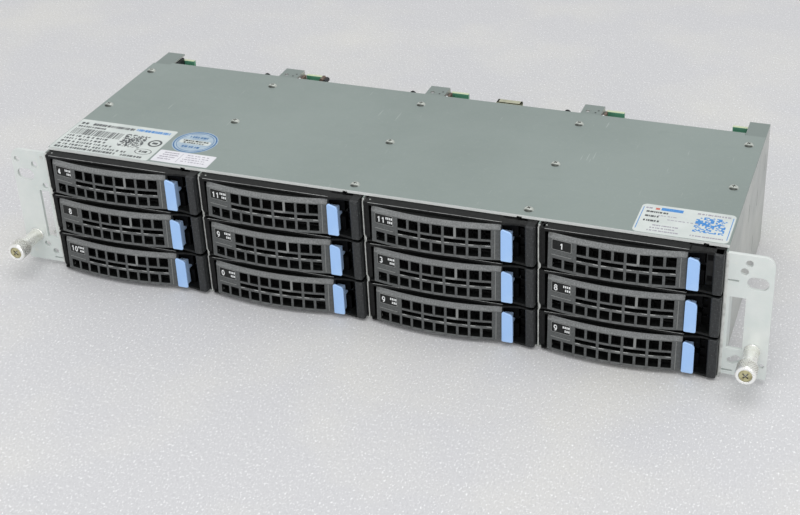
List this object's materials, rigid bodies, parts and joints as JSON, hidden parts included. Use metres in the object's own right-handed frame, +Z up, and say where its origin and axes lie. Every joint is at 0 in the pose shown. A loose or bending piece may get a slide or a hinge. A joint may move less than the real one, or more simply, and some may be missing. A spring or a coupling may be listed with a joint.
{
  "type": "rack drive cage",
  "caption": "Flat rack-mounted storage cage with hot-swap drive carriers, swing levers with grilles, sliding latches, rack ears and captive thumbscrews.",
  "frame": {"origin": "centre line of the underside, in the plane of the rack ears' front faces", "axes": "+X to the right seen from the front, +Y to the rear, +Z up"},
  "size_m": [0.4826, 0.1949, 0.0876],
  "materials": {
    "cover_steel": "matt grey-green zinc-plated sheet",
    "cage_steel": "satin zinc-plated sheet",
    "ear_zinc": "satin zinc-plated sheet",
    "circuit_board": "green solder mask",
    "connector_plastic": "moulded tan plastic",
    "screw_nickel": "nickel plate",
    "black_plastic": "fine-grained black plastic",
    "grey_plastic": "fine-grained dark grey plastic",
    "blue_plastic": "smooth light blue plastic",
    "drive_case": "cast aluminium"
  },
  "bodies": {
    "cage": {"cage_base": "cage_steel", "top_cover": "cover_steel", "bay_dividers": "cage_steel", "rack_ear_left": "ear_zinc", "rack_ear_right": "ear_zinc", "backplane_board": "circuit_board", "board_connectors": "connector_plastic", "fasteners": "screw_nickel"},
    "screw_collar_left": {"spring_collar_left": "screw_nickel"},
    "thumbscrew_left": {"thumbscrew_left": "screw_nickel"},
    "screw_collar_right": {"spring_collar_right": "screw_nickel"},
    "thumbscrew_right": {"thumbscrew_right": "screw_nickel"},
    "carrier_c1r1": {"carrier_c1r1": "black_plastic", "drive_c1r1": "drive_case"},
    "lever_c1r1": {"lever_c1r1": "grey_plastic"},
    "latch_c1r1": {"latch_c1r1": "blue_plastic"},
    "carrier_c1r2": {"carrier_c1r2": "black_plastic", "drive_c1r2": "drive_case"},
    "lever_c1r2": {"lever_c1r2": "grey_plastic"},
    "latch_c1r2": {"latch_c1r2": "blue_plastic"},
    "carrier_c1r3": {"carrier_c1r3": "black_plastic", "drive_c1r3": "drive_case"},
    "lever_c1r3": {"lever_c1r3": "grey_plastic"},
    "latch_c1r3": {"latch_c1r3": "blue_plastic"},
    "carrier_c2r1": {"carrier_c2r1": "black_plastic", "drive_c2r1": "drive_case"},
    "lever_c2r1": {"lever_c2r1": "grey_plastic"},
    "latch_c2r1": {"latch_c2r1": "blue_plastic"},
    "carrier_c2r2": {"carrier_c2r2": "black_plastic", "drive_c2r2": "drive_case"},
    "lever_c2r2": {"lever_c2r2": "grey_plastic"},
    "latch_c2r2": {"latch_c2r2": "blue_plastic"},
    "carrier_c2r3": {"carrier_c2r3": "black_plastic", "drive_c2r3": "drive_case"},
    "lever_c2r3": {"lever_c2r3": "grey_plastic"},
    "latch_c2r3": {"latch_c2r3": "blue_plastic"},
    "carrier_c3r1": {"carrier_c3r1": "black_plastic", "drive_c3r1": "drive_case"},
    "lever_c3r1": {"lever_c3r1": "grey_plastic"},
    "latch_c3r1": {"latch_c3r1": "blue_plastic"},
    "carrier_c3r2": {"carrier_c3r2": "black_plastic", "drive_c3r2": "drive_case"},
    "lever_c3r2": {"lever_c3r2": "grey_plastic"},
    "latch_c3r2": {"latch_c3r2": "blue_plastic"},
    "carrier_c3r3": {"carrier_c3r3": "black_plastic", "drive_c3r3": "drive_case"},
    "lever_c3r3": {"lever_c3r3": "grey_plastic"},
    "latch_c3r3": {"latch_c3r3": "blue_plastic"},
    "carrier_c4r1": {"carrier_c4r1": "black_plastic", "drive_c4r1": "drive_case"},
    "lever_c4r1": {"lever_c4r1": "grey_plastic"},
    "latch_c4r1": {"latch_c4r1": "blue_plastic"},
    "carrier_c4r2": {"carrier_c4r2": "black_plastic", "drive_c4r2": "drive_case"},
    "lever_c4r2": {"lever_c4r2": "grey_plastic"},
    "latch_c4r2": {"latch_c4r2": "blue_plastic"},
    "carrier_c4r3": {"carrier_c4r3": "black_plastic", "drive_c4r3": "drive_case"},
    "lever_c4r3": {"lever_c4r3": "grey_plastic"},
    "latch_c4r3": {"latch_c4r3": "blue_plastic"}
  },
  "joints": [
    {"name": "thumbscrew_left_slide", "type": "slide", "parent": "cage", "child": "screw_collar_left", "axis": [0, 1, 0], "range_m": [0, 0.006], "stiffness_N_per_m": 400, "springref_m": -0.003},
    {"name": "thumbscrew_left_turn", "type": "hinge", "parent": "screw_collar_left", "child": "thumbscrew_left", "pos_m": [-0.23255, -0.016, 0.02145], "axis": [0, -1, 0], "continuous": true},
    {"name": "thumbscrew_right_slide", "type": "slide", "parent": "cage", "child": "screw_collar_right", "axis": [0, 1, 0], "range_m": [0, 0.006], "stiffness_N_per_m": 400, "springref_m": -0.003},
    {"name": "thumbscrew_right_turn", "type": "hinge", "parent": "screw_collar_right", "child": "thumbscrew_right", "pos_m": [0.23255, -0.016, 0.02145], "axis": [0, -1, 0], "continuous": true},
    {"name": "carrier_c1r1_slide", "type": "slide", "parent": "cage", "child": "carrier_c1r1", "axis": [0, -1, 0], "range_m": [0, 0.19]},
    {"name": "carrier_c1r2_slide", "type": "slide", "parent": "cage", "child": "carrier_c1r2", "axis": [0, -1, 0], "range_m": [0, 0.19]},
    {"name": "carrier_c1r3_slide", "type": "slide", "parent": "cage", "child": "carrier_c1r3", "axis": [0, -1, 0], "range_m": [0, 0.19]},
    {"name": "carrier_c2r1_slide", "type": "slide", "parent": "cage", "child": "carrier_c2r1", "axis": [0, -1, 0], "range_m": [0, 0.19]},
    {"name": "carrier_c2r2_slide", "type": "slide", "parent": "cage", "child": "carrier_c2r2", "axis": [0, -1, 0], "range_m": [0, 0.19]},
    {"name": "carrier_c2r3_slide", "type": "slide", "parent": "cage", "child": "carrier_c2r3", "axis": [0, -1, 0], "range_m": [0, 0.19]},
    {"name": "carrier_c3r1_slide", "type": "slide", "parent": "cage", "child": "carrier_c3r1", "axis": [0, -1, 0], "range_m": [0, 0.19]},
    {"name": "carrier_c3r2_slide", "type": "slide", "parent": "cage", "child": "carrier_c3r2", "axis": [0, -1, 0], "range_m": [0, 0.19]},
    {"name": "carrier_c3r3_slide", "type": "slide", "parent": "cage", "child": "carrier_c3r3", "axis": [0, -1, 0], "range_m": [0, 0.19]},
    {"name": "carrier_c4r1_slide", "type": "slide", "parent": "cage", "child": "carrier_c4r1", "axis": [0, -1, 0], "range_m": [0, 0.19]},
    {"name": "carrier_c4r2_slide", "type": "slide", "parent": "cage", "child": "carrier_c4r2", "axis": [0, -1, 0], "range_m": [0, 0.19]},
    {"name": "carrier_c4r3_slide", "type": "slide", "parent": "cage", "child": "carrier_c4r3", "axis": [0, -1, 0], "range_m": [0, 0.19]},
    {"name": "lever_c1r1_swing", "type": "hinge", "parent": "carrier_c1r1", "child": "lever_c1r1", "pos_m": [-0.20705, -0.0019, 0.059], "axis": [0, 0, -1], "range_deg": [0, 55]},
    {"name": "lever_c1r2_swing", "type": "hinge", "parent": "carrier_c1r2", "child": "lever_c1r2", "pos_m": [-0.20705, -0.0019, 0.031], "axis": [0, 0, -1], "range_deg": [0, 55]},
    {"name": "lever_c1r3_swing", "type": "hinge", "parent": "carrier_c1r3", "child": "lever_c1r3", "pos_m": [-0.20705, -0.0019, 0.003], "axis": [0, 0, -1], "range_deg": [0, 55]},
    {"name": "lever_c2r1_swing", "type": "hinge", "parent": "carrier_c2r1", "child": "lever_c2r1", "pos_m": [-0.09955, -0.0019, 0.059], "axis": [0, 0, -1], "range_deg": [0, 55]},
    {"name": "lever_c2r2_swing", "type": "hinge", "parent": "carrier_c2r2", "child": "lever_c2r2", "pos_m": [-0.09955, -0.0019, 0.031], "axis": [0, 0, -1], "range_deg": [0, 55]},
    {"name": "lever_c2r3_swing", "type": "hinge", "parent": "carrier_c2r3", "child": "lever_c2r3", "pos_m": [-0.09955, -0.0019, 0.003], "axis": [0, 0, -1], "range_deg": [0, 55]},
    {"name": "lever_c3r1_swing", "type": "hinge", "parent": "carrier_c3r1", "child": "lever_c3r1", "pos_m": [0.00795, -0.0019, 0.059], "axis": [0, 0, -1], "range_deg": [0, 55]},
    {"name": "lever_c3r2_swing", "type": "hinge", "parent": "carrier_c3r2", "child": "lever_c3r2", "pos_m": [0.00795, -0.0019, 0.031], "axis": [0, 0, -1], "range_deg": [0, 55]},
    {"name": "lever_c3r3_swing", "type": "hinge", "parent": "carrier_c3r3", "child": "lever_c3r3", "pos_m": [0.00795, -0.0019, 0.003], "axis": [0, 0, -1], "range_deg": [0, 55]},
    {"name": "lever_c4r1_swing", "type": "hinge", "parent": "carrier_c4r1", "child": "lever_c4r1", "pos_m": [0.11545, -0.0019, 0.059], "axis": [0, 0, -1], "range_deg": [0, 55]},
    {"name": "lever_c4r2_swing", "type": "hinge", "parent": "carrier_c4r2", "child": "lever_c4r2", "pos_m": [0.11545, -0.0019, 0.031], "axis": [0, 0, -1], "range_deg": [0, 55]},
    {"name": "lever_c4r3_swing", "type": "hinge", "parent": "carrier_c4r3", "child": "lever_c4r3", "pos_m": [0.11545, -0.0019, 0.003], "axis": [0, 0, -1], "range_deg": [0, 55]},
    {"name": "latch_c1r1_press", "type": "slide", "parent": "carrier_c1r1", "child": "latch_c1r1", "axis": [1, 0, 0], "range_m": [0, 0.0035], "stiffness_N_per_m": 300, "springref_m": -0.002},
    {"name": "latch_c1r2_press", "type": "slide", "parent": "carrier_c1r2", "child": "latch_c1r2", "axis": [1, 0, 0], "range_m": [0, 0.0035], "stiffness_N_per_m": 300, "springref_m": -0.002},
    {"name": "latch_c1r3_press", "type": "slide", "parent": "carrier_c1r3", "child": "latch_c1r3", "axis": [1, 0, 0], "range_m": [0, 0.0035], "stiffness_N_per_m": 300, "springref_m": -0.002},
    {"name": "latch_c2r1_press", "type": "slide", "parent": "carrier_c2r1", "child": "latch_c2r1", "axis": [1, 0, 0], "range_m": [0, 0.0035], "stiffness_N_per_m": 300, "springref_m": -0.002},
    {"name": "latch_c2r2_press", "type": "slide", "parent": "carrier_c2r2", "child": "latch_c2r2", "axis": [1, 0, 0], "range_m": [0, 0.0035], "stiffness_N_per_m": 300, "springref_m": -0.002},
    {"name": "latch_c2r3_press", "type": "slide", "parent": "carrier_c2r3", "child": "latch_c2r3", "axis": [1, 0, 0], "range_m": [0, 0.0035], "stiffness_N_per_m": 300, "springref_m": -0.002},
    {"name": "latch_c3r1_press", "type": "slide", "parent": "carrier_c3r1", "child": "latch_c3r1", "axis": [1, 0, 0], "range_m": [0, 0.0035], "stiffness_N_per_m": 300, "springref_m": -0.002},
    {"name": "latch_c3r2_press", "type": "slide", "parent": "carrier_c3r2", "child": "latch_c3r2", "axis": [1, 0, 0], "range_m": [0, 0.0035], "stiffness_N_per_m": 300, "springref_m": -0.002},
    {"name": "latch_c3r3_press", "type": "slide", "parent": "carrier_c3r3", "child": "latch_c3r3", "axis": [1, 0, 0], "range_m": [0, 0.0035], "stiffness_N_per_m": 300, "springref_m": -0.002},
    {"name": "latch_c4r1_press", "type": "slide", "parent": "carrier_c4r1", "child": "latch_c4r1", "axis": [1, 0, 0], "range_m": [0, 0.0035], "stiffness_N_per_m": 300, "springref_m": -0.002},
    {"name": "latch_c4r2_press", "type": "slide", "parent": "carrier_c4r2", "child": "latch_c4r2", "axis": [1, 0, 0], "range_m": [0, 0.0035], "stiffness_N_per_m": 300, "springref_m": -0.002},
    {"name": "latch_c4r3_press", "type": "slide", "parent": "carrier_c4r3", "child": "latch_c4r3", "axis": [1, 0, 0], "range_m": [0, 0.0035], "stiffness_N_per_m": 300, "springref_m": -0.002}
  ]
}
